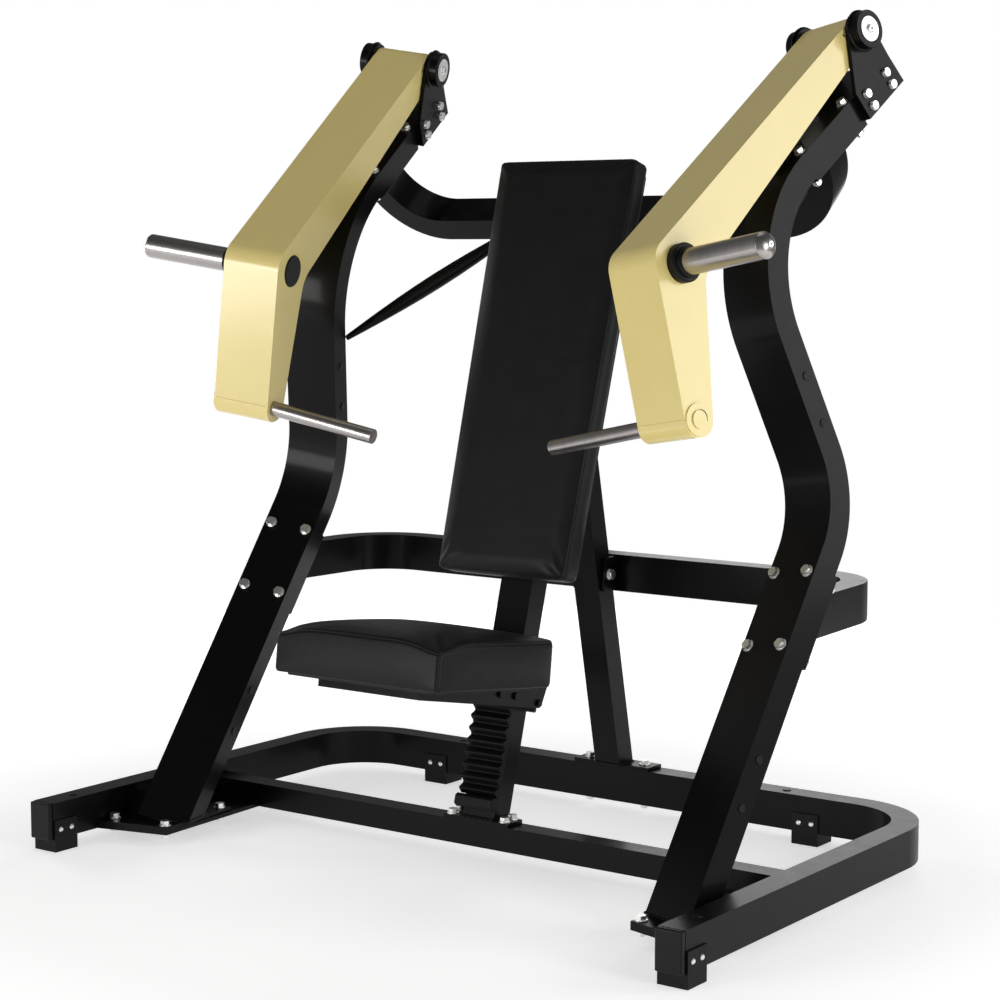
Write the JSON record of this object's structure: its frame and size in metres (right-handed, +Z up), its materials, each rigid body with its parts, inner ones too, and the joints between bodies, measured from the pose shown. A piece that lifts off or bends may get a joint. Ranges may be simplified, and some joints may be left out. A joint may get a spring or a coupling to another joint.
{
  "type": "chest press machine",
  "caption": "Plate-loaded chest press: leaning back pad and sliding seat between two converging press arms on S-shaped uprights.",
  "frame": {"origin": "on the floor, under the middle of the base's bounding box", "axes": "+X to the seated user's left, -Y the way the user faces, +Z up"},
  "size_m": [1.603, 1.0778, 1.7168],
  "materials": {
    "frame_black": "satin powder coat",
    "rack_black": "satin powder coat",
    "arm_cream": "glossy cream-yellow powder coat",
    "zinc": "bright zinc plate",
    "steel": "fine brushed",
    "cap_silver": "satin",
    "rubber": "matt",
    "black_plastic": "semi-matt",
    "nylon": "matt",
    "board": "plain plywood",
    "pad": "fine-grained leatherette over foam"
  },
  "bodies": {
    "frame": {"base_frame": "frame_black", "front_crossbeam": "frame_black", "base_end_caps": "black_plastic", "rubber_feet": "rubber", "foot_rivets": "zinc", "tube_plugs": "black_plastic", "base_plates": "frame_black", "upright_left": "frame_black", "upright_right": "frame_black", "upright_foot_plates": "frame_black", "rear_tie": "frame_black", "tie_plates": "frame_black", "top_crossbar": "frame_black", "rear_strut": "frame_black", "strut_plates": "frame_black", "frame_bolts": "zinc", "frame_washers": "zinc", "frame_nuts": "zinc", "spine_post": "frame_black", "spine_plates": "frame_black", "seat_rack": "rack_black", "backrest_board": "board", "backrest_pad": "pad", "stay_rod": "frame_black", "pivot_brackets": "frame_black", "bracket_spacers": "frame_black", "bracket_bolts": "zinc", "bearing_housings": "frame_black", "pivot_bearings": "steel", "stop_bumpers": "rubber"},
    "arm_left": {"arm_shell_left": "arm_cream", "arm_back_plate_left": "arm_cream", "pivot_sleeve_left": "arm_cream", "pivot_shaft_left": "steel", "shaft_caps_left": "cap_silver", "weight_horn_left": "steel", "horn_end_cap_left": "steel", "horn_collar_left": "black_plastic", "hub_cap_left": "black_plastic", "handle_bar_left": "steel", "handle_plug_left": "arm_cream"},
    "arm_right": {"arm_shell_right": "arm_cream", "arm_back_plate_right": "arm_cream", "pivot_sleeve_right": "arm_cream", "pivot_shaft_right": "steel", "shaft_caps_right": "cap_silver", "weight_horn_right": "steel", "horn_end_cap_right": "steel", "horn_collar_right": "black_plastic", "hub_cap_right": "black_plastic", "handle_bar_right": "steel", "handle_plug_right": "arm_cream"},
    "seat": {"seat_pad": "pad", "seat_board": "board", "seat_bracket": "frame_black", "seat_bolts": "zinc", "seat_carriage": "frame_black", "carriage_glides": "nylon", "pawl_pin": "zinc"},
    "pawl": {"seat_pawl": "zinc"}
  },
  "joints": [
    {"name": "press_left", "type": "hinge", "parent": "frame", "child": "arm_left", "pos_m": [0.54739, 0.415, 1.66421], "axis": [-0.9583, 0.2389, -0.1564], "range_deg": [0, 40]},
    {"name": "press_right", "type": "hinge", "parent": "frame", "child": "arm_right", "pos_m": [-0.54739, 0.415, 1.66421], "axis": [-0.9583, -0.2389, 0.1564], "range_deg": [0, 40]},
    {"name": "seat_slide", "type": "slide", "parent": "frame", "child": "seat", "axis": [0, 0.2756, 0.9613], "range_m": [-0.16, 0.025]},
    {"name": "pawl_turn", "type": "hinge", "parent": "seat", "child": "pawl", "pos_m": [0, -0.01246, 0.38304], "axis": [1, 0, 0], "range_deg": [0, 25]}
  ]
}
